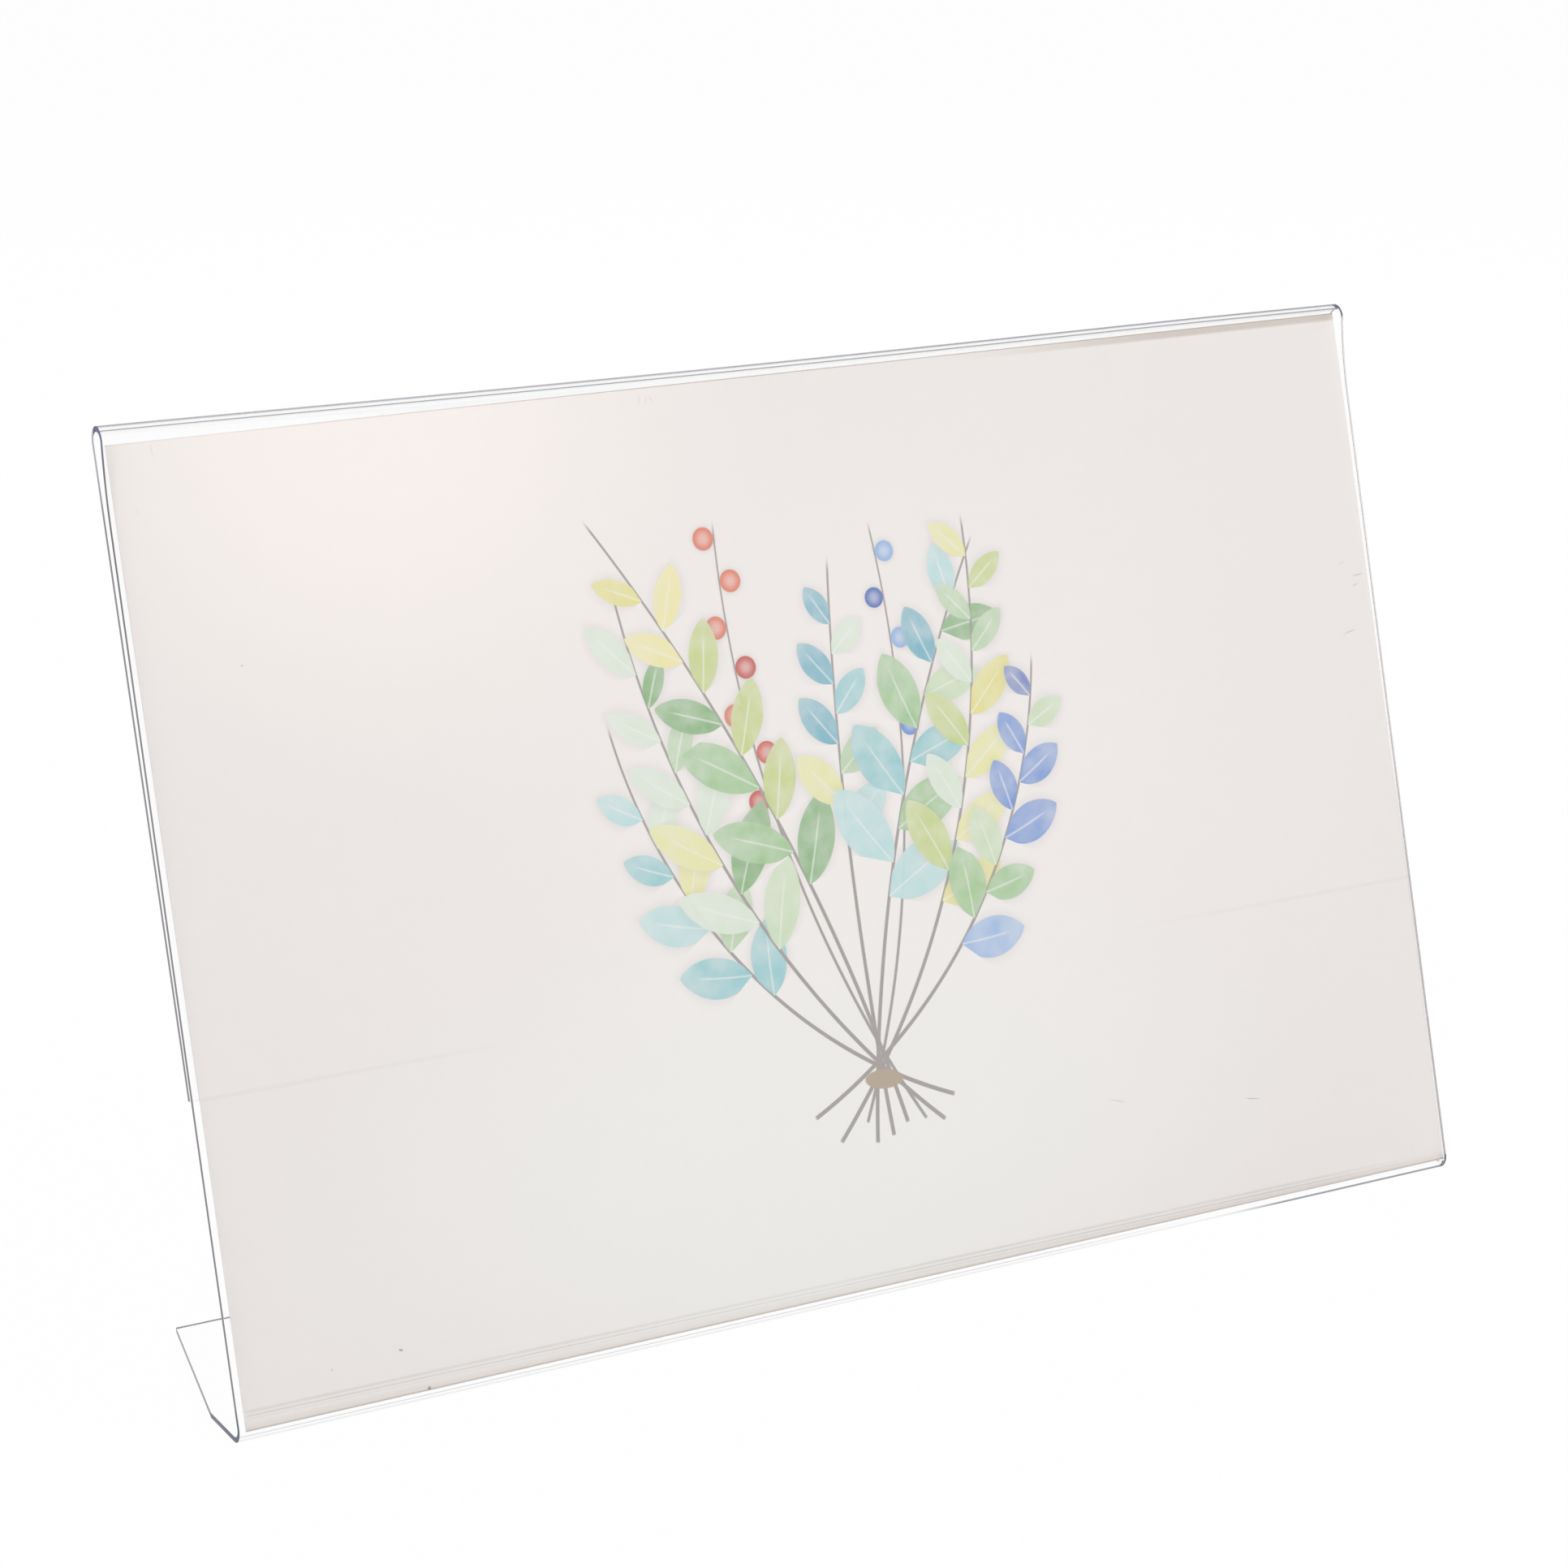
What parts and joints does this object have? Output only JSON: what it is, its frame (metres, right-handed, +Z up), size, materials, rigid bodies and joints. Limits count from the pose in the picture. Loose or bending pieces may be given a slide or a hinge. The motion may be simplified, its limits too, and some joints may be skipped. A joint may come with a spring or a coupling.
{
  "type": "slant-back photo holder",
  "caption": "Tabletop photo holder folded from a single clear plastic sheet: a leaning front, a pocket behind it that a landscape card slides into sideways, and a flat foot.",
  "frame": {"origin": "middle of the outline on the surface that the foot stands on", "axes": "+X to the right along the width as seen from the front, +Y from the front panel towards the foot's rear edge, +Z up"},
  "size_m": [0.302, 0.06, 0.1976],
  "materials": {
    "clear_sheet": "polished, colourless and clear, with a faint violet-grey tone in the edges",
    "printed_card": null
  },
  "bodies": {
    "holder": {"folded_sheet": "clear_sheet"},
    "card": {"photo_card": "printed_card"}
  },
  "joints": [
    {"name": "card_slide", "type": "slide", "parent": "holder", "child": "card", "axis": [1, 0, 0], "range_m": [-0.28, 0.28]}
  ]
}
